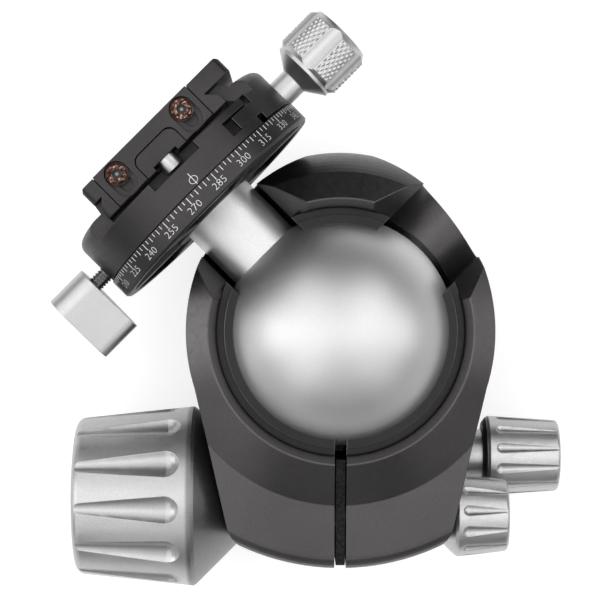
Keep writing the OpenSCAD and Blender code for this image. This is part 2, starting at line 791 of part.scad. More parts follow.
module pan_knob() {
    color(silver) on_right(pan_y, pan_low) difference() {
        fluted_knob(pan_d, pan_end_d, pan_len, pan_d - 0.6, pan_seat, 0.14 * pan_d / 2, 105);
        translate([0, 0, pan_seat - 1]) cylinder(d = pan_screw_d + 0.02, h = pan_len - 3);
    }
}

module pan_ring() {
    color("black") on_right(pan_y, pan_low) difference() {
        translate([0, 0, pan_ring_x]) cylinder(r1 = pan_d / 2 - 1.6, r2 = pan_d / 2 - 0.3, h = pan_ring_h);
        translate([0, 0, pan_ring_x - 1]) cylinder(d = pan_screw_d + 0.02, h = pan_ring_h + 2);
    }
}

module pan_screw() {
    color("gray") {
        on_right(pan_y, pan_low) translate([0, 0, pan_tip_x + 2.99])
            cylinder(d = pan_screw_d, h = pan_seat + pan_len - pan_tip_x - 7.5);
        pan_cone(0);
    }
}

module ball() {
    color("white") on_stem() difference() {
        sphere(r = ball_r, $fn = 160);
        translate([0, 0, ball_r - stem_seat]) cylinder(d = stem_d + 0.02, h = ball_r);
    }
}

module stem() {
    stem_top = disc_h + stem_spigot;
    color(silver) on_stem() difference() {
        translate([0, 0, ball_r - stem_seat]) cylinder(d = stem_d, h = stem_top - ball_r + stem_seat);
        translate([0, 0, stem_top - stem_bolt_len - 1]) cylinder(d = stem_bolt_d, h = stem_bolt_len + 2);
    }
}

// Disc on the stem with a scale on its edge and pockets in its underside
module pan_disc() {
    pocket_inner = disc_boss_d / 2;
    pocket_outer = disc_r - disc_ring_w;
    spoke_turn = 2 * asin(spoke_w / 2 / pocket_inner);
    pocket_turn = 360 / pockets_n - spoke_turn;
    edge = 0.5;
    color(clamp_grey) on_stem() difference() {
        union() {
            translate([0, 0, disc_h]) cylinder(r1 = disc_r - edge, r2 = disc_r, h = edge);
            translate([0, 0, disc_h + edge]) cylinder(r = disc_r, h = disc_t - edge);
        }
        translate([0, 0, disc_h - 1]) cylinder(d = stem_d + 0.02, h = 1 + stem_spigot);
        translate([0, 0, disc_h - 1]) cylinder(d = stem_bolt_d + 0.2, h = disc_t + 2);
        for (i = [0 : pockets_n - 1]) rotate([0, 0, 360 / pockets_n * i + spoke_turn / 2])
            translate([0, 0, disc_h - 1]) rotate_extrude(angle = pocket_turn)
                translate([pocket_inner, 0]) square([pocket_outer - pocket_inner, disc_t + 1 - disc_web]);
    }
}

module pan_washer() {
    color("white") on_stem() ring(clamp_r - 3, journal_d / 2 + 0.5, disc_top, body_bottom);
}

module pan_journal() {
    color(silver) on_stem() ring(journal_d / 2, stem_bolt_d / 2 + 0.1, disc_top, journal_top);
}

module journal_cap() {
    color(silver) on_stem() ring(cap_d / 2, stem_bolt_d / 2 + 0.1, journal_top, journal_top + cap_h);
}

module stem_bolt() {
    head_low = journal_top + cap_h;
    shank_low = disc_h + stem_spigot - stem_bolt_len;
    color("dimgray") on_stem() difference() {
        union() {
            translate([0, 0, head_low]) cylinder(r = bolt_head_r, h = bolt_head_h);
            translate([0, 0, shank_low]) cylinder(d = stem_bolt_d, h = head_low - shank_low + cut);
        }
        translate([0, 0, head_low + 1]) cylinder(r = 2.9, h = 3, $fn = 6);
    }
}

// Body of the panning clamp with its fixed jaw
module clamp_body() {
    fixed_x = plate_x - plate_w / 2 - dove_gap;
    color(clamp_grey) on_stem() difference() {
        union() {
            intersection() {
                rounded_disc(body_bottom);
                union() {
                    block(-clamp_r - 1, rail_x, -clamp_r - 1, clamp_r + 1, body_bottom, body_rim);
                    block(fixed_x - 2, rail_x - 4, -floor_y, floor_y, body_bottom, body_floor);
                    block(-clamp_r - 1, fixed_x, -jaw_len / 2, jaw_len / 2, body_bottom, jaw_top + 1);
                }
            }
            hook(fixed_x, -1, fixed_hook_w);
        }
        body_cuts();
    }
}

// Solid that both jaws are cut from, with a rounded outer top edge
module rounded_disc(low) {
    edge = [for (a = [0 : 15 : 90])
        [clamp_r - jaw_round * (1 - cos(a)), jaw_top - jaw_round * (1 - sin(a))]];
    rotate_extrude($fn = 180) polygon(concat([[0, low], [clamp_r, low]], edge, [[0, jaw_top]]));
}

// Hook of a jaw, whose inner face stands at x; side is -1 left of the plate
module hook(x, side, wide) {
    lean = min(plate_undercut, wide / 2);
    knee = plate_bottom + plate_side_h + dove_gap;
    tip = hook_top - knee;
    translate([x, jaw_len / 2, 0]) rotate([90, 0, 0]) linear_extrude(jaw_len)
        polygon([[0, knee - 1.5], [0, knee], [-side * tip, hook_top],
            [side * (wide - lean), hook_top], [side * wide, jaw_top - 0.5],
            [side * wide, knee - 1.5]]);
}

module body_cuts() {
    pocket_x = jaw_x - tongue_len - tongue_room;
    translate([0, 0, body_bottom - 1]) cylinder(d = journal_d + 2 * run_fit, h = 10);
    translate([0, 0, cap_ledge]) cylinder(d = cap_d + 0.4, h = 10);
    for (side = [-1, 1]) {
        block(pocket_x, clamp_r, min(side * (tongue_y - 0.2), side * clamp_r),
            max(side * (tongue_y - 0.2), side * clamp_r), tongue_low - 0.1, tongue_low + tongue_h + 0.5);
        block(plate_x - stop_recess_w / 2, plate_x + stop_recess_w / 2,
            min(side * stop_recess_y, side * clamp_r), max(side * stop_recess_y, side * clamp_r),
            body_rim - stop_recess_h, body_floor + 1);
        along_clamp(side * guide_pin_y, screw_h) {
            translate([0, 0, pocket_x]) cylinder(d = guide_pin_d + 2 * run_fit, h = clamp_r);
            translate([0, 0, rail_x - spring_room]) cylinder(r = spring_r + 0.1, h = clamp_r);
        }
    }
    along_clamp(0, screw_h) translate([0, 0, journal_d / 2 + 3.4])
        cylinder(d = clamp_screw_d + 2 * run_fit, h = clamp_r);
    along_clamp(0, lever_h) translate([0, 0, -clamp_r - 1])
        cylinder(d = lever_screw_d + 2 * run_fit, h = clamp_r);
}

module jaw_springs() {
    color("silver") on_stem() for (side = [-1, 1]) along_clamp(side * guide_pin_y, screw_h)
        ring(spring_r, guide_pin_d / 2 + 0.2, rail_x - spring_room, rail_x);
}

// Soft shoe that the lever's screw presses on the journal
module brake_shoe() {
    color("gold") on_stem() along_clamp(0, lever_h)
        translate([0, 0, -journal_d / 2 - 4.6]) cylinder(d = lever_screw_d - 0.6, h = 4.6 - run_fit);
}

module moving_jaw() {
    inner_x = plate_x + plate_w / 2 + dove_gap;
    bottom = body_bottom + 0.3;
    color(clamp_grey) on_stem() difference() {
        union() {
            intersection() {
                rounded_disc(bottom);
                union() {
                    block(jaw_x, clamp_r + 1, -clamp_r, clamp_r, bottom - 1, body_rim);
                    block(jaw_x, clamp_r + 1, -jaw_len / 2, jaw_len / 2, bottom - 1, jaw_top + 1);
                    translate([inner_x, jaw_len / 2, 0]) rotate([90, 0, 0]) linear_extrude(jaw_len)
                        polygon([[0, slab_low + slab_chamfer], [slab_chamfer, slab_low],
                            [jaw_x + 1 - inner_x, slab_low], [jaw_x + 1 - inner_x, jaw_top + 1],
                            [0, jaw_top + 1]]);
                    for (side = [-1, 1])
                        block(jaw_x - tongue_len, jaw_x + 1, min(side * tongue_y, side * clamp_r),
                            max(side * tongue_y, side * clamp_r), tongue_low, tongue_low + tongue_h);
                }
            }
            hook(inner_x, 1, hook_w);
        }
        along_clamp(0, screw_h) {
            cylinder(d = clamp_screw_d + 2 * run_fit, h = clamp_r + 1);
            translate([0, 0, knob_seat_x]) cylinder(d = knob_neck_d + 0.8, h = 5);
        }
        for (side = [-1, 1]) along_clamp(side * guide_pin_y, screw_h)
            cylinder(d = guide_pin_d, h = clamp_r - 3);
    }
}

module guide_pins() {
    pocket_x = jaw_x - tongue_len - tongue_room;
    color("silver") on_stem() for (side = [-1, 1]) along_clamp(side * guide_pin_y, screw_h)
        translate([0, 0, pocket_x + 0.5]) cylinder(d = guide_pin_d, h = clamp_r - 3 - pocket_x - 0.5);
}

module clamp_knob() {
    neck_r = min(knob_neck_d / 2, clamp_screw_h + 0.1);
    head_r = knob_head_d / 2;
    rim = head_r - 0.8;
    cone_z = knob_seat_x + run_fit + knob_neck_len;
    head_z = cone_z + knob_cone_len;
    top = head_z + knob_head_len;
    groove_w = 0.26 * head_r;
    groove_cut = groove_r(groove_w, 0.8);
    color(silver) on_stem() along_clamp(0, screw_h) difference() {
        rotate_extrude() polygon([[0, knob_seat_x + run_fit], [neck_r, knob_seat_x + run_fit],
            [neck_r, cone_z], [rim, head_z], [rim, head_z + 0.8], [head_r, head_z + 1.8],
            [head_r, top - 1.6], [rim, top - 0.7], [rim - 0.4, top], [0, top]]);
        for (i = [0 : knob_flutes_n - 1]) rotate([0, 0, 90 + 360 / knob_flutes_n * i])
            translate([head_r - 0.8 + groove_cut, 0, head_z - 1])
                cylinder(r = groove_cut, h = knob_head_len + 2);
        translate([0, 0, knob_seat_x - 1]) cylinder(d = clamp_screw_d + 0.02, h = knob_neck_len + 8);
    }
}

module clamp_screw() {
    end_x = journal_d / 2 + 4;
    color("gray") on_stem() along_clamp(0, screw_h)
        translate([0, 0, end_x]) cylinder(d = clamp_screw_d, h = knob_seat_x + knob_neck_len + 6 - end_x);
}

module pan_lever() {
    near = -clamp_r - lever_gap;
    color(silver) on_stem() difference() {
        hull() {
            along_clamp(0, lever_h) translate([0, 0, near - lever_t])
                cylinder(d = lever_head_d, h = lever_t);
            along_clamp(0, lever_h - lever_reach) translate([0, 0, near - lever_t])
                cylinder(d = lever_tail_d, h = lever_t);
        }
        along_clamp(0, lever_h) translate([0, 0, near - 5]) cylinder(d = lever_screw_d + 0.02, h = 8);
    }
}

module lever_screw() {
    near = -clamp_r - lever_gap;
    far = -journal_d / 2 - 4.7;
    color("gray") on_stem() along_clamp(0, lever_h)
        translate([0, 0, near - 4.5]) cylinder(d = lever_screw_d, h = far - near + 4.5);
}

// Plate with a dovetail below, an overhang on the knob's side and a recess for the lip
module quick_plate() {
    color(clamp_grey) on_stem() difference() {
        union() {
            difference() {
                intersection() {
                    translate([plate_x, plate_len / 2, 0]) rotate([90, 0, 0]) linear_extrude(plate_len)
                        plate_section();
                    translate([plate_x, 0, plate_bottom - 1])
                        linear_extrude(plate_top - plate_bottom + 2) plate_plan();
                }
                block(lip_x - lip_w / 2 - lip_seam, lip_x + lip_w / 2 + lip_seam, lip_front - 1,
                    lip_front + lip_t, plate_bottom - 1, plate_top + 1);
            }
            translate([plate_x, lip_front + lip_t + cut, 0]) rotate([90, 0, 0]) linear_extrude(lip_t + cut)
                boss_plan(0);
        }
        translate([plate_x, 0, plate_bottom - 1]) {
            cylinder(d = camera_hole_d, h = plate_top - plate_bottom + 2);
            cylinder(d = camera_recess_d, h = plate_top - plate_bottom + 1 - camera_hole_len);
        }
        for (side = [-1, 1]) {
            translate([plate_x, side * stop_y, plate_bottom - 1]) cylinder(r = 1.51, h = 5);
            block(plate_x - stop_d / 2 - 1, plate_x + stop_d / 2 + 1,
                min(side * (stop_y - stop_d / 2 - 1), side * (plate_len / 2 + 1)),
                max(side * (stop_y - stop_d / 2 - 1), side * (plate_len / 2 + 1)),
                plate_bottom - 1, plate_bottom + stop_notch_h);
            strip(side, plate_top + 1);
            translate([plate_x + side * lip_screw_gap / 2, lip_front + 12, lip_screw_h])
                rotate([90, 0, 0]) cylinder(r = lip_screw_r + 0.01, h = 12);
        }
    }
}

module plate_section() {
    half = plate_w / 2;
    neck = half - plate_undercut;
    knee = plate_bottom + plate_side_h;
    right = half + plate_over;
    left = half + plate_over_left;
    bevel = 0.8;
    polygon([[-half, plate_bottom], [half, plate_bottom], [half, knee], [neck, dove_top],
        [right, dove_top], [right, plate_top - bevel], [right - bevel, plate_top],
        [bevel - left, plate_top], [-left, plate_top - bevel], [-left, dove_top],
        [-neck, dove_top], [-half, knee]]);
}

// Outline of the plate seen from above it, with rounded corners
module plate_plan() {
    right = plate_w / 2 + plate_over + 0.01 - plate_corner;
    left = -plate_w / 2 - plate_over_left - 0.01 + plate_corner;
    end = plate_len / 2 + 0.01 - plate_corner;
    centres = [[right, end], [left, end], [left, -end], [right, -end]];
    polygon([for (i = [0 : 3], a = [0 : 15 : 90])
        centres[i] + plate_corner * [cos(90 * i + a), sin(90 * i + a)]]);
}

// Face of the boss that guides the lip, grown by a gap for the lip's cut-out
module boss_plan(gap) {
    w = lip_boss_w / 2 + gap;
    top = plate_bottom + lip_boss_h + gap;
    translate([-w, plate_bottom - gap]) square([2 * w, lip_boss_h + 2 * gap - boss_corner]);
    translate([-w + boss_corner, plate_bottom]) square([2 * (w - boss_corner), top - plate_bottom]);
    for (side = [-1, 1]) translate([side * (w - boss_corner), top - boss_corner]) circle(r = boss_corner);
}

module plate_strips() {
    color([0.05, 0.05, 0.05]) on_stem() for (side = [-1, 1]) strip(side, plate_top);
}

module strip(side, top) {
    x = plate_x + side * strip_x;
    block(x - strip_w / 2, x + strip_w / 2, strip_end - plate_len / 2, (plate_len - strip_end) / 2,
        plate_top - strip_h, top);
}

// Screws whose heads run in the clamp's recesses and keep the plate from sliding out
module stop_screws() {
    head_top = plate_bottom + stop_notch_h;
    color("white") on_stem() for (side = [-1, 1]) translate([plate_x, side * stop_y, 0]) {
        translate([0, 0, head_top - stop_h]) cylinder(d = stop_d, h = stop_h);
        translate([0, 0, head_top - cut]) cylinder(r = 1.5, h = 2.5);
    }
}

module lip_screws() {
    color(copper) on_stem() for (side = [-1, 1])
        translate([plate_x + side * lip_screw_gap / 2, lip_front, lip_screw_h]) rotate([-90, 0, 0])
            difference() {
                union() {
                    cylinder(d1 = 0.82 * lip_head_d, d2 = lip_head_d, h = 0.5);
                    translate([0, 0, 0.5]) cylinder(d = lip_head_d, h = lip_head_h - 0.5);
                    cylinder(r = lip_screw_r, h = 10);
                }
                translate([0, 0, -1]) cylinder(r = 1.15, h = 1.9, $fn = 6);
            }
}

// Lip that stops a camera turning on the plate; it slides up on its two screws
module plate_lip() {
    low = plate_bottom + 0.1;
    top = plate_top + 0.15;
    color(clamp_grey) on_stem() difference() {
        block(lip_x - lip_w / 2, lip_x + lip_w / 2, lip_front - 0.1, lip_front + lip_t - 0.05, low, top);
        translate([plate_x, lip_front + lip_t + 1, 0]) rotate([90, 0, 0]) linear_extrude(lip_t + 3)
            boss_plan(lip_seam);
        for (side = [-1, 1]) translate([plate_x + side * lip_screw_gap / 2, 0, lip_screw_h]) {
            slot(lip_head_d / 2 + 0.15, lip_front - 1, lip_front + lip_head_h + 0.05);
            slot(lip_screw_r + 0.1, lip_front - 1, lip_front + lip_t + 1);
        }
    }
}

// Slot through the lip from y0 to y1, as long as the lip's travel
module slot(r, y0, y1) {
    translate([0, y1, 0]) rotate([90, 0, 0]) cylinder(r = r, h = y1 - y0);
    translate([0, y1, -lip_travel]) rotate([90, 0, 0]) cylinder(r = r, h = y1 - y0);
    block(-r, r, y0, y1, -lip_travel, 0);
}

base_plate();
low_washer();
up_washer();
spindle_retainer();
retainer_screws();
housing();
ball_race();
ball_seat();
slit_pad();
pan_bush();
brake_pin();
lock_washer();
lock_knob();
lock_screw();
lock_cap();
friction_knob();
friction_screw();
pan_knob();
pan_screw();
pan_ring();
ball();
stem();
pan_disc();
pan_washer();
pan_journal();
journal_cap();
stem_bolt();
clamp_body();
jaw_springs();
brake_shoe();
moving_jaw();
guide_pins();
clamp_knob();
clamp_screw();
pan_lever();
lever_screw();
quick_plate();
plate_strips();
stop_screws();
lip_screws();
plate_lip();
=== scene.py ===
"""Looks of the tripod ball head: materials, scale, knurling, thread, light and camera."""
import math
import bpy
from mathutils import Matrix, Vector


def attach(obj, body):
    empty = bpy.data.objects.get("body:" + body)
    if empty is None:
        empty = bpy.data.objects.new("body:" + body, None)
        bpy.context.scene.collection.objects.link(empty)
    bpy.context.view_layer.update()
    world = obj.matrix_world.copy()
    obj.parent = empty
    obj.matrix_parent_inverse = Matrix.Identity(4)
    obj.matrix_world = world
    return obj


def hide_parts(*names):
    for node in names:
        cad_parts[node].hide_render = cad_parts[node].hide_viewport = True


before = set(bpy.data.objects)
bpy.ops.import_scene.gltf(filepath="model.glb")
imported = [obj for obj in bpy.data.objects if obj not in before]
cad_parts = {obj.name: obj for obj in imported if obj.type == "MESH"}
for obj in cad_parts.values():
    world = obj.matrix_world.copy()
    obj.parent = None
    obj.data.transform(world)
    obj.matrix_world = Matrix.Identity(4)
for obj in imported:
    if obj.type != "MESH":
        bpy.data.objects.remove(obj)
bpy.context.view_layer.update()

MM = 0.001

# Sizes shared with the CAD model, in millimetres. The heights of the disc's top, the clamp's bottom
# and the axes of the clamp's screw and the lever are from the ball's centre along the stem.
BALL_HEIGHT, STEM_TURN = 46.5, math.radians(45)
DISC_RADIUS, DISC_TOP = 30.3, 46.7
CLAMP_RADIUS, CLAMP_BOTTOM = 30.0, 47.0
SCREW_HEIGHT, LEVER_HEIGHT = 50.4, 49.5

# From the stem's own frame (x to the clamp's knob, z along the stem) to the part's frame
STEM = (Matrix.Translation(Vector((0, 0, BALL_HEIGHT)) * MM) @ Matrix.Rotation(STEM_TURN, 4, "Z")
        @ Matrix.Rotation(-math.pi / 2, 4, "X"))


# Materials

NOISE_LOW, NOISE_HIGH = 0.3, 0.7        # the range that a noise texture's values mostly lie in
CLOUD_SCALE, SPECK_SCALE, RING_SCALE = 28.0, 4200.0, 2600.0


class Look:
    """A procedural material and the helpers that build up its nodes."""

    def __init__(self, name, metallic=0.0):
        self.material = bpy.data.materials.new(name)
        self.material.use_nodes = True
        self.tree = self.material.node_tree
        self.tree.nodes.clear()
        self.shader = self.add("BsdfPrincipled", {"Metallic": metallic})
        self.add("OutputMaterial", {0: self.shader.outputs[0]})
        self.coord = self.add("TexCoord", {}).outputs["Object"]

    def fill(self, node, inputs):
        """Give inputs of a node fixed values or other nodes' outputs."""
        for key, value in inputs.items():
            if isinstance(value, bpy.types.NodeSocket):
                self.tree.links.new(value, node.inputs[key])
            else:
                node.inputs[key].default_value = value

    def add(self, kind, inputs, **settings):
        """New node of a kind."""
        node = self.tree.nodes.new("ShaderNode" + kind)
        for key, value in settings.items():
            setattr(node, key, value)
        self.fill(node, inputs)
        return node

    def ramp(self, source, stops):
        """Colour ramp through stops of position and colour."""
        node = self.add("ValToRGB", {0: source})
        elements = node.color_ramp.elements
        elements[0].position, elements[0].color = stops[0]
        elements[1].position, elements[1].color = stops[-1]
        for position, colour in stops[1:-1]:
            elements.new(position).color = colour
        return node.outputs[0]

    def between(self, source, low, high):
        """Colours between two, by a noise texture."""
        return self.ramp(source, [(NOISE_LOW, low), (NOISE_HIGH, high)])

    def noise(self, scale, detail, rough=0.55):
        """Value of a noise texture in the piece's own space."""
        return self.add("TexNoise", {"Scale": scale, "Detail": detail, "Roughness": rough,
                                     "Vector": self.coord}).outputs["Fac"]

    def mapped(self, source, from_min, from_max, to_min, to_max):
        """A value taken from one range to another."""
        return self.add("MapRange", {"Value": source, "From Min": from_min, "From Max": from_max,
                                     "To Min": to_min, "To Max": to_max}).outputs["Result"]

    def scaled(self, colour, factor):
        """A colour made lighter or darker."""
        return self.add("VectorMath", {0: colour, "Scale": factor}, operation="SCALE").outputs[0]

    def rounded(self, radius_mm):
        """Normal as if the edges were rounded."""
        return self.add("Bevel", {"Radius": radius_mm * MM}, samples=6).outputs[0]

    def bump(self, height, strength, depth_mm, **inputs):
        """Normal with fine relief."""
        return self.add("Bump", {"Height": height, "Strength": strength,
                                 "Distance": depth_mm * MM, **inputs}).outputs[0]

    def finish(self, colour, rough_source, rough, normal):
        """Connect the shader and return the material."""
        self.fill(self.shader, {
            "Base Color": colour,
            "Roughness": self.between(rough_source, grey(rough[0]), grey(rough[1])),
            "Normal": normal,
        })
        return self.material


def grey(value, tint=(1, 1, 1)):
    """Opaque grey, or a colour near it."""
    return (value * tint[0], value * tint[1], value * tint[2], 1)


def metal(name, dark, light, rough, edge, grain=900.0, bump=0.1, bump_mm=0.02, painted_edge_highlight=None,
          painted_shade=None, speck=0.0):
    """Blasted or anodised metal: cloudy colour, fine grain in bump and roughness, rounded edges.

    edge is the edges' radius in mm, and the edge highlight is the colour of a highlight painted along
    the edges. The shade zone is painted shade: two places along x in mm, between which it fades in, and
    its darkening factor. speck is the strength of a fine speckle.
    """
    look = Look(name, metallic=1.0)
    fine = look.noise(grain, 2.0, 0.6)
    normal = look.rounded(edge)
    colour = look.between(look.noise(CLOUD_SCALE, 4.0), dark, light)
    # painted shade: the colour is darkened beyond a place along x
    if painted_shade:
        x = look.add("SeparateXYZ", {0: look.coord}).outputs[0]
        colour = look.scaled(colour, look.mapped(x, painted_shade[0] * MM, painted_shade[1] * MM, 1.0, painted_shade[2]))
    if speck:
        dust = look.noise(SPECK_SCALE, 1.0)
        colour = look.scaled(colour, look.mapped(dust, NOISE_LOW, NOISE_HIGH, 1.0 - speck, 1.0 + speck))
    if painted_edge_highlight:
        # a highlight is painted along the edges, where the rounded normal turns away from the real one
        flat = look.add("NewGeometry", {}).outputs["Normal"]
        same = look.add("VectorMath", {0: flat, 1: normal}, operation="DOT_PRODUCT").outputs["Value"]
        edge_highlight_mask = look.ramp(same, [(0.80, grey(1)), (0.985, grey(0))])
        colour = look.add("Mix", {0: edge_highlight_mask, 6: colour, 7: painted_edge_highlight}, data_type="RGBA").outputs[2]
    return look.finish(colour, fine, rough, look.bump(fine, bump, bump_mm, Normal=normal))


def turned(name, dark, light, axis):
    """Lathe-turned metal, with fine rings round the given axis through the origin."""
    look = Look(name, metallic=1.0)
    along = look.add("VectorMath", {0: look.coord, 1: axis}, operation="DOT_PRODUCT").outputs["Value"]
    rings = look.add("TexNoise", {"Scale": RING_SCALE, "Detail": 2.0, "W": along},
                     noise_dimensions="1D").outputs["Fac"]
    return look.finish(look.between(rings, dark, light), rings, (0.25, 0.4),
                       look.bump(rings, 0.25, 0.01, Normal=look.rounded(0.2)))


def soft(name, dark, light, rough=(0.5, 0.8), scale=500.0, bump=0.3, bump_mm=0.05, specular=0.5):
    """Plastic or rubber with a fine grain."""
    look = Look(name)
    look.fill(look.shader, {"Specular IOR Level": specular})
    fine = look.noise(scale, 3.0)
    return look.finish(look.between(fine, dark, light), fine, rough, look.bump(fine, bump, bump_mm))


def halfway(values):
    """Middle between the lowest and the highest value."""
    return (min(values) + max(values)) / 2


def screw_axes(node):
    """Where the axes of the two screws in a node meet the part's base plane."""
    points = [(STEM.inverted() @ v.co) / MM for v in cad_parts[node].data.vertices]
    middle = halfway([p.x for p in points])
    axes = []
    for side in (-1, 1):
        own = [p for p in points if (p.x - middle) * side > 0]
        axis = STEM @ (Vector((halfway([p.x for p in own]), 0, halfway([p.z for p in own]))) * MM)
        axes.append((axis.x, axis.y, 0))
    return axes


def speckled(name, low, middle, high, axes, socket_r, head_r):
    """Worn copper coating of two screw heads seen along z.

    It is dark brown with small bright flakes, and has a plain rim that gets lighter towards its edge,
    and a steel-grey socket painted near black inside as shade, with a painted highlight in its middle.
    """
    look = Look(name, metallic=1.0)
    flat = look.add("VectorMath", {0: look.coord, 1: (1, 1, 0)}, operation="MULTIPLY").outputs[0]
    away = [look.add("VectorMath", {0: flat, 1: axis}, operation="DISTANCE").outputs["Value"]
            for axis in axes]
    nearest = look.add("Math", {0: away[0], 1: away[1]}, operation="MINIMUM").outputs[0]
    # from 0 on a head's axis to 1 at its rim
    radius = look.add("Math", {0: nearest, 1: head_r * MM}, operation="DIVIDE").outputs[0]
    socket, rim = socket_r / head_r, 0.84

    fine = look.noise(1900.0, 4.0, 0.7)
    cells = look.add("TexVoronoi", {"Scale": 1500.0, "Vector": look.coord}).outputs["Distance"]
    cells = look.add("Math", {0: cells, 1: 0.25}, operation="MULTIPLY").outputs[0]
    flakes = look.add("Math", {0: fine, 1: cells}, operation="SUBTRACT").outputs[0]
    coating = look.ramp(flakes, [(0.30, low), (0.44, middle), (0.58, high)])
    # painted shade inside the socket, with a painted highlight at its middle; the rim gets lighter
    # towards its edge
    plain = look.ramp(radius, [(0.08, grey(0.22)), (0.16, grey(0.05)), (socket - 0.04, grey(0.03)),
                               (socket + 0.03, grey(0.10)), (rim, (0.50, 0.34, 0.29, 1)),
                               (1.0, (0.80, 0.60, 0.53, 1))])
    coated = look.ramp(radius, [(socket - 0.02, grey(0)), (socket + 0.02, grey(1)), (rim, grey(1)),
                                (0.90, grey(0.2)), (1.0, grey(0.2))])
    colour = look.add("Mix", {0: coated, 6: plain, 7: coating}, data_type="RGBA").outputs[2]
    strength = look.ramp(coated, [(0.0, grey(0)), (1.0, grey(0.7))])
    return look.finish(colour, fine, (0.28, 0.5), look.bump(flakes, strength, 0.05))


TITAN = (1.0, 0.95, 0.98)               # the faint violet of the anodised pieces
ACROSS = (1, 0, 0)
ALONG_CLAMP = (math.sqrt(0.5), math.sqrt(0.5), 0.0)

# the anodised pieces get a highlight painted along their edges
m_housing = metal("housing_anodised", grey(0.079, TITAN), grey(0.099, TITAN), (0.34, 0.43), edge=0.4,
                  painted_edge_highlight=grey(0.115, TITAN), speck=0.13)
m_race = metal("race_anodised", grey(0.024, TITAN), grey(0.031, TITAN), (0.30, 0.38), edge=0.25,
               painted_edge_highlight=grey(0.22))
m_clamp = metal("clamp_anodised", grey(0.042, TITAN), grey(0.058, TITAN), (0.40, 0.48), edge=0.3,
                painted_edge_highlight=grey(0.12, TITAN), speck=0.10)
m_knob = metal("knob_silver", grey(0.42), grey(0.49), (0.34, 0.42), edge=0.25, speck=0.09)
# the lock knob's back cone, towards the housing, is darkened as painted shade
m_lock = metal("lock_silver", grey(0.42), grey(0.48), (0.36, 0.44), edge=0.25,
               painted_shade=(-37.4, -36.6, 0.46), speck=0.09)
m_bright = metal("knob_bright", grey(0.45), grey(0.53), (0.34, 0.42), edge=0.3, speck=0.06)
m_ball = metal("ball_surface", grey(0.56), grey(0.59), (0.45, 0.51), edge=0.05, grain=1600,
               bump=0.12, speck=0.035)
m_stem = metal("stem_steel", grey(0.60), grey(0.68), (0.40, 0.48), edge=0.2, grain=1500,
               bump=0.04, bump_mm=0.01, speck=0.06)
m_screw_u = turned("screw_along_clamp", grey(0.45), grey(0.6), ALONG_CLAMP)
m_screw_x = turned("screw_across", grey(0.45), grey(0.6), ACROSS)
m_knurl = metal("knurl_silver", grey(0.40), grey(0.52), (0.28, 0.36), edge=0.04, grain=2500)
m_thread = metal("thread_steel", grey(0.28), grey(0.36), (0.25, 0.35), edge=0.04)
m_steel = metal("plain_steel", grey(0.45), grey(0.55), (0.3, 0.4), edge=0.15)
m_black_steel = metal("black_steel", grey(0.03), grey(0.05), (0.4, 0.5), edge=0.15)
m_brass = metal("brass", grey(0.6, (1, 0.8, 0.4)), grey(0.7, (1, 0.8, 0.45)), (0.3, 0.4), edge=0.15)
m_bearing = soft("bearing_polymer", grey(0.7, (1, 0.98, 0.92)), grey(0.8, (1, 0.98, 0.92)))
# the pad in the housing's slit is near black as painted shade of the narrow slit, with a fine grain
m_slit_shade = soft("slit_grain_and_painted_shade", grey(0.001), grey(0.02), (0.7, 0.95), 1300.0, 1.0, 0.35, specular=0.15)
m_black = soft("black_polymer", grey(0.004), grey(0.010), (0.4, 0.6), 900.0, 0.2, 0.02)
m_rubber = soft("rubber", grey(0.010), grey(0.022), (0.6, 0.8), 1200.0, 0.5, 0.05)
m_white = soft("scale_white", grey(0.62), grey(0.72), (0.5, 0.6), 1500.0, 0.1, 0.01)
m_copper = speckled("copper_screw", (0.018, 0.009, 0.007, 1), (0.14, 0.075, 0.060, 1),
                    (0.66, 0.45, 0.39, 1), screw_axes("lip_screws"), 1.15, 2.8)

LOOKS = {
    "base_plate": m_housing, "low_washer": m_bearing, "up_washer": m_bearing,
    "spindle_retainer": m_steel, "retainer_screws": m_black_steel, "housing": m_housing,
    "ball_race": m_race, "ball_seat": m_bearing, "slit_pad": m_slit_shade, "pan_bush": m_knob,
    "brake_pin": m_brass, "lock_washer": m_black, "lock_knob": m_lock, "lock_screw": m_screw_x,
    "lock_cap": m_knob, "friction_knob": m_knob, "friction_screw": m_screw_x, "pan_knob": m_knob,
    "pan_screw": m_screw_x, "pan_ring": m_black, "ball": m_ball, "stem": m_stem,
    "pan_disc": m_clamp, "pan_washer": m_bearing, "pan_journal": m_steel, "journal_cap": m_steel,
    "stem_bolt": m_black_steel, "clamp_body": m_clamp, "jaw_springs": m_steel,
    "brake_shoe": m_brass, "moving_jaw": m_clamp, "guide_pins": m_steel, "clamp_knob": m_bright,
    "clamp_screw": m_screw_u, "pan_lever": m_bright, "lever_screw": m_screw_u,
    "quick_plate": m_clamp, "plate_strips": m_rubber, "stop_screws": m_steel,
    "lip_screws": m_copper, "plate_lip": m_clamp,
}
for name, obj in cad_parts.items():
    obj.data.materials.clear()
    obj.data.materials.append(LOOKS[name])


# Scale and index, in millimetres and degrees

INDEX_VALUE = 276.6                     # the scale's value in front, towards the camera
TICK_STEP, MIDDLE_STEP, NUMBER_STEP = 2.5, 5, 15
TICK_LONG, TICK_MIDDLE, TICK_SHORT, TICK_HALF = 1.95, 1.45, 1.05, 0.085
NUMBER_SIZE, NUMBER_DROP, NUMBER_STRETCH, NUMBER_THIN = 1.62, 3.75, 1.08, -0.02
MARK_LIFT, MARK_SINK, MARK_GAP = 0.03, 0.05, 0.1    # above and under the rim, and to its edge
INDEX_ANGLE, INDEX_HEIGHT, INDEX_TOP, INDEX_HALF = math.radians(1.3), 48.4, 50.3, 0.08
INDEX_INNER, INDEX_OUTER, INDEX_SQUASH, INDEX_SIDES = 0.94, 1.08, 0.85, 32


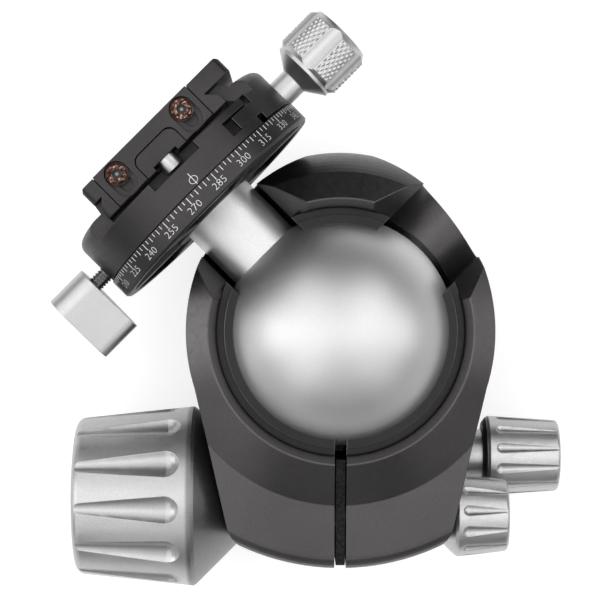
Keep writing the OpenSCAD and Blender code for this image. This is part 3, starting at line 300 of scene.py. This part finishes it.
def add_object(name, data):
    """New object in the scene."""
    obj = bpy.data.objects.new(name, data)
    bpy.context.scene.collection.objects.link(obj)
    return obj


def make_piece(name, verts, faces, material, body):
    """New mesh piece of the part, which moves with a body."""
    mesh = bpy.data.meshes.new(name)
    mesh.from_pydata([tuple(v) for v in verts], [], faces)
    mesh.update()
    obj = add_object(name, mesh)
    obj.data.materials.append(material)
    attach(obj, body)
    return obj


def on_rim(angle, height, radius):
    """Point on a cylinder round the stem, at an angle from the front towards the clamp's knob."""
    return STEM @ (Vector((radius * math.sin(angle), -radius * math.cos(angle), height)) * MM)


def rim_patch(verts, faces, start, end, bottom, top, radius):
    """Add a thin raised patch between two angles and two heights, in steps of about 1 mm."""
    steps = max(1, int(abs(end - start) * radius))
    inside, outside = radius - MARK_SINK, radius + MARK_LIFT
    first = len(verts)
    last = first + 4 * steps
    for i in range(steps + 1):
        angle = start + (end - start) * i / steps
        for r, height in ((inside, bottom), (outside, bottom), (outside, top), (inside, top)):
            verts.append(on_rim(angle, height, r))
    for corner in range(first, last, 4):
        for k in range(4):
            n = (k + 1) % 4
            faces.append((corner + k, corner + n, corner + 4 + n, corner + 4 + k))
    faces.append((first, first + 3, first + 2, first + 1))
    faces.append((last, last + 1, last + 2, last + 3))


def flat_text(text, height):
    """Points and faces of a text, centred on x, with its feet at y = 0, in mm."""
    curve = bpy.data.curves.new("glyph", "FONT")
    curve.body = text
    curve.align_x = "CENTER"
    curve.size = 1.0
    curve.resolution_u = 3
    curve.offset = NUMBER_THIN
    obj = add_object("glyph", curve)
    depsgraph = bpy.context.evaluated_depsgraph_get()
    mesh = bpy.data.meshes.new_from_object(obj.evaluated_get(depsgraph))
    bpy.data.objects.remove(obj)
    foot = min(v.co.y for v in mesh.vertices)
    size = height / (max(v.co.y for v in mesh.vertices) - foot)
    points = [(v.co.x * size * NUMBER_STRETCH, (v.co.y - foot) * size) for v in mesh.vertices]
    return points, [tuple(p.vertices) for p in mesh.polygons]


def scale_ticks():
    """Ticks round the disc, longer at each fifth degree and longest at the numbers."""
    verts, faces = [], []
    half = TICK_HALF / DISC_RADIUS
    for i in range(round(360 / TICK_STEP)):
        value = i * TICK_STEP
        length = TICK_SHORT
        if value % MIDDLE_STEP == 0:
            length = TICK_MIDDLE
        if value % NUMBER_STEP == 0:
            length = TICK_LONG
        angle = math.radians(value - INDEX_VALUE)
        rim_patch(verts, faces, angle - half, angle + half, DISC_TOP - length, DISC_TOP - MARK_GAP,
                  DISC_RADIUS)
    make_piece("scale_ticks", verts, faces, m_white, "ball")


def scale_numbers():
    """The scale's numbers, laid round the disc's rim."""
    verts, faces = [], []
    for value in range(0, 360, NUMBER_STEP):
        angle = math.radians(value - INDEX_VALUE)
        points, text_faces = flat_text(str(value), NUMBER_SIZE)
        first = len(verts)
        for x, y in points:
            verts.append(on_rim(angle + x / DISC_RADIUS, DISC_TOP - NUMBER_DROP + y,
                                DISC_RADIUS + MARK_LIFT))
        faces += [tuple(first + k for k in face) for face in text_faces]
    make_piece("scale_numbers", verts, faces, m_white, "ball")


def index_mark():
    """A flat ring with a line through it on the clamp."""
    verts, faces = [], []
    for i in range(INDEX_SIDES):
        a, b = 2 * math.pi * i / INDEX_SIDES, 2 * math.pi * (i + 1) / INDEX_SIDES
        first = len(verts)
        for r, turn in ((INDEX_INNER, a), (INDEX_OUTER, a), (INDEX_OUTER, b), (INDEX_INNER, b)):
            verts.append(on_rim(INDEX_ANGLE + r * math.cos(turn) / CLAMP_RADIUS,
                                INDEX_HEIGHT + INDEX_SQUASH * r * math.sin(turn),
                                CLAMP_RADIUS + MARK_LIFT))
        faces.append((first, first + 1, first + 2, first + 3))
    half = INDEX_HALF / CLAMP_RADIUS
    rim_patch(verts, faces, INDEX_ANGLE - half, INDEX_ANGLE + half, CLAMP_BOTTOM + MARK_GAP, INDEX_TOP,
              CLAMP_RADIUS)
    make_piece("index_mark", verts, faces, m_white, "clamp")


scale_ticks()
scale_numbers()
index_mark()


# Knurling and thread, in millimetres and degrees

HEAD_RADIUS, PAD_START, PAD_END = 8.7, 39.5, 49.2
PADS, PAD_FIRST, PAD_HALF = 6, 30, math.radians(15.6)
KNURL_PITCH, KNURL_HEIGHT, KNURL_SINK, KNURL_SLOPE = 1.15, 0.30, 0.06, 0.55
KNURL_ROWS, KNURL_COLUMNS = 83, 35
THREAD_RADIUS, THREAD_PITCH, THREAD_DEPTH = 2.0, 0.8, 0.40
THREAD_START, THREAD_STEP, THREAD_ROWS, THREAD_COLUMNS = -38.0, 0.1, 249, 36


def wave(x):
    """Triangle wave from 0 to 1 with period 1."""
    return 1 - abs(2 * (x - math.floor(x)) - 1)


def on_bar(angle, along, radius, height):
    """Point round an axis along the clamp, at an angle from the front towards the plate."""
    return STEM @ (Vector((along, -radius * math.cos(angle), height + radius * math.sin(angle))) * MM)


def grid(name, rows, material, body, closed=False):
    """Surface through rows of points; where it is closed, each row's last point meets its first."""
    verts = [p for row in rows for p in row]
    width = len(rows[0])
    faces = []
    for i in range(len(rows) - 1):
        for k in range(width if closed else width - 1):
            n = (k + 1) % width
            faces.append((i * width + k, i * width + n, (i + 1) * width + n, (i + 1) * width + k))
    return make_piece(name, verts, faces, material, body)


def knurled_pad(number, middle):
    """Crossed ridges on the clamp knob's head, round the angle of the pad's middle."""
    rows = []
    for i in range(KNURL_ROWS):
        along = PAD_START + (PAD_END - PAD_START) * i / (KNURL_ROWS - 1)
        row = []
        for k in range(KNURL_COLUMNS):
            side = -1 + 2 * k / (KNURL_COLUMNS - 1)
            arc = side * PAD_HALF * HEAD_RADIUS
            ridge = min(wave((KNURL_SLOPE * along + arc) / KNURL_PITCH),
                        wave((KNURL_SLOPE * along - arc) / KNURL_PITCH)) * KNURL_HEIGHT
            if i in (0, KNURL_ROWS - 1) or k in (0, KNURL_COLUMNS - 1):
                ridge = 0
            row.append(on_bar(middle + side * PAD_HALF, along, HEAD_RADIUS - KNURL_SINK + ridge,
                              SCREW_HEIGHT))
        rows.append(row)
    grid("knurl_%d" % number, rows, m_knurl, "clamp_knob")


def lever_thread():
    """The lever's screw with a helical thread, in the plain screw's place."""
    rows = []
    for i in range(THREAD_ROWS):
        along = THREAD_START + THREAD_STEP * i
        row = []
        for k in range(THREAD_COLUMNS):
            depth = THREAD_DEPTH * (1 - wave(along / THREAD_PITCH + k / THREAD_COLUMNS))
            row.append(on_bar(2 * math.pi * k / THREAD_COLUMNS, along, THREAD_RADIUS - depth,
                              LEVER_HEIGHT))
        rows.append(row)
    thread = grid("lever_thread", rows, m_thread, "pan_lever", closed=True)
    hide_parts("lever_screw")


for pad in range(PADS):
    knurled_pad(pad + 1, math.radians(PAD_FIRST + 360 / PADS * pad))
lever_thread()


# Floor, light and camera, in metres

FLOOR_HALF, FLOOR_HEIGHT = 3, -0.0005
GLOW_NEAR, GLOW_FAR = (0.12, 0.62), (0.36, 0.08)    # distance from the part's middle and strength
WORLD_STRENGTH = 0.05
DOME_RADIUS, DOME_HEIGHT, PANEL_SIZE = 1.0, 0.04, 0.56
# A dome of soft square panels: name, angle from the zenith, azimuth, power in watts
PANELS = [
    ("top_0", 0, 0, 1.29),
    ("left_28", 28, 180, 2.05),
    ("left_62", 62, 180, 2.57),
    ("left_80", 80, 180, 0.80),
    ("right_25", 25, 0, 1.83),
    ("right_60", 60, 0, 2.25),
    ("back_30", 30, 90, 0.93),
    ("front_30", 30, 270, 0.58),
    ("front_60", 60, 270, 0.48),
    ("back_left_45", 45, 135, 1.50),
    ("back_right_45", 45, 45, 2.09),
    ("front_left_45", 45, 225, 1.36),
    ("front_right_45", 45, 315, 1.09),
    ("back_left_68", 68, 135, 0.69),
    ("front_left_68", 68, 225, 0.84),
    ("front_right_68", 68, 315, 0.50),
]
# The photograph's camera: millimetres a pixel at the ball's centre, its distance from there in mm,
# half the frame's width, and the frame's centre from the ball's, in pixels
PHOTO_SCALE, PHOTO_DISTANCE = 0.2407, 500.0
FRAME_HALF, FRAME_X, FRAME_Y = 300, -40, 31
SENSOR_WIDTH = 36.0


def white_floor():
    """Floor that glows where the picture shows it.

    Further out it fades, because there it would only light the part's sides.
    """
    corners = [(x * FLOOR_HALF, y * FLOOR_HALF, FLOOR_HEIGHT)
               for x, y in ((-1, -1), (1, -1), (1, 1), (-1, 1))]
    mesh = bpy.data.meshes.new("floor")
    mesh.from_pydata(corners, [], [(0, 1, 2, 3)])
    floor = add_object("floor", mesh)
    look = Look("floor_white")
    away = look.add("VectorMath", {0: look.coord}, operation="LENGTH").outputs["Value"]
    look.fill(look.shader, {
        "Base Color": grey(0.5),
        "Roughness": 0.9,
        "Emission Color": grey(1),
        "Emission Strength": look.mapped(away, GLOW_NEAR[0], GLOW_FAR[0], GLOW_NEAR[1], GLOW_FAR[1]),
    })
    floor.data.materials.append(look.material)


def white_world():
    """Weak even light from all around."""
    world = bpy.data.worlds.new("studio")
    bpy.context.scene.world = world
    world.use_nodes = True
    background = world.node_tree.nodes["Background"]
    background.inputs["Color"].default_value = grey(1)
    background.inputs["Strength"].default_value = WORLD_STRENGTH


def light_panel(name, tilt, turn, power):
    """Square area light on the dome, facing its centre."""
    out = DOME_RADIUS * math.sin(tilt)
    place = (out * math.cos(turn), out * math.sin(turn), DOME_RADIUS * math.cos(tilt) + DOME_HEIGHT)
    light = bpy.data.lights.new(name, "AREA")
    light.shape = "RECTANGLE"
    light.size = light.size_y = PANEL_SIZE
    light.energy = power
    obj = add_object(name, light)
    obj.location = place
    obj.rotation_mode = "QUATERNION"
    obj.rotation_quaternion = (Vector((0, 0, DOME_HEIGHT)) - Vector(place)).to_track_quat("-Z", "Y")


def photo_camera():
    """The photograph's camera, which looks straight down."""
    data = bpy.data.cameras.new("camera")
    data.sensor_width = SENSOR_WIDTH
    data.lens = SENSOR_WIDTH / 2 / (FRAME_HALF * PHOTO_SCALE / PHOTO_DISTANCE)
    data.clip_start, data.clip_end = 0.01, 20
    camera = add_object("camera", data)
    camera.location = (FRAME_X * PHOTO_SCALE * MM, FRAME_Y * PHOTO_SCALE * MM,
                       (BALL_HEIGHT + PHOTO_DISTANCE) * MM)
    camera.rotation_euler = (0, 0, 0)
    bpy.context.scene.camera = camera


white_floor()
white_world()
for side, tilt, turn, power in PANELS:
    light_panel("light_" + side, math.radians(tilt), math.radians(turn), power)
photo_camera()
# for the photograph's pure white ground and strong contrast
bpy.context.scene.view_settings.view_transform = "Standard"
